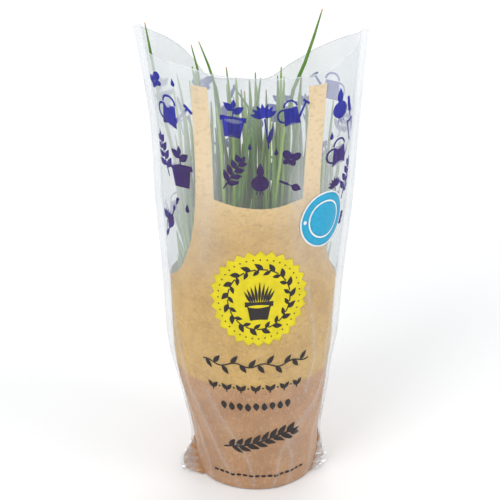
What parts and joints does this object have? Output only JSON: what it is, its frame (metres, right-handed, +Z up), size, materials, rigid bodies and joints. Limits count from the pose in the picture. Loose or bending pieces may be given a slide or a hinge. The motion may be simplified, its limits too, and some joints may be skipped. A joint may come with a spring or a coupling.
{
  "type": "potted chive plant",
  "caption": "Chive clumps growing in a round terracotta-coloured pot, standing in a tall clear film sleeve lined with a brown paper apron.",
  "frame": {"origin": "on the floor under the middle of the pot, at the middle of the sleeve's flat bottom", "axes": "+Z up, front (apron and straps) towards -Y, +X to the right seen from the front"},
  "size_m": [0.1708, 0.1224, 0.392],
  "materials": {
    "chive_leaf": "smooth waxy green leaf, paler at the foot, some dry yellow tips",
    "clear_film": "clear glossy film, softly creased, printed in violet blue",
    "kraft_paper": "brown kraft paper with fine fibres under clear film",
    "sticker": "satin turquoise label paper with a pale ring",
    "pot_plastic": "matte terracotta-coloured moulded plastic",
    "potting_soil": "moist dark potting soil"
  },
  "bodies": {
    "root": {"chive_tuft_01": "chive_leaf", "chive_tuft_02": "chive_leaf", "chive_tuft_03": "chive_leaf", "chive_tuft_04": "chive_leaf", "chive_tuft_05": "chive_leaf", "chive_tuft_06": "chive_leaf", "chive_tuft_07": "chive_leaf", "chive_tuft_08": "chive_leaf", "chive_tuft_09": "chive_leaf", "chive_tuft_10": "chive_leaf", "chive_tuft_11": "chive_leaf", "chive_tuft_12": "chive_leaf", "chive_tuft_13": "chive_leaf", "chive_tuft_14": "chive_leaf", "chive_tuft_15": "chive_leaf", "chive_tuft_16": "chive_leaf", "film_sleeve": "clear_film", "kraft_pocket": "kraft_paper", "round_sticker": "sticker", "pot": "pot_plastic", "soil": "potting_soil"}
  },
  "joints": []
}
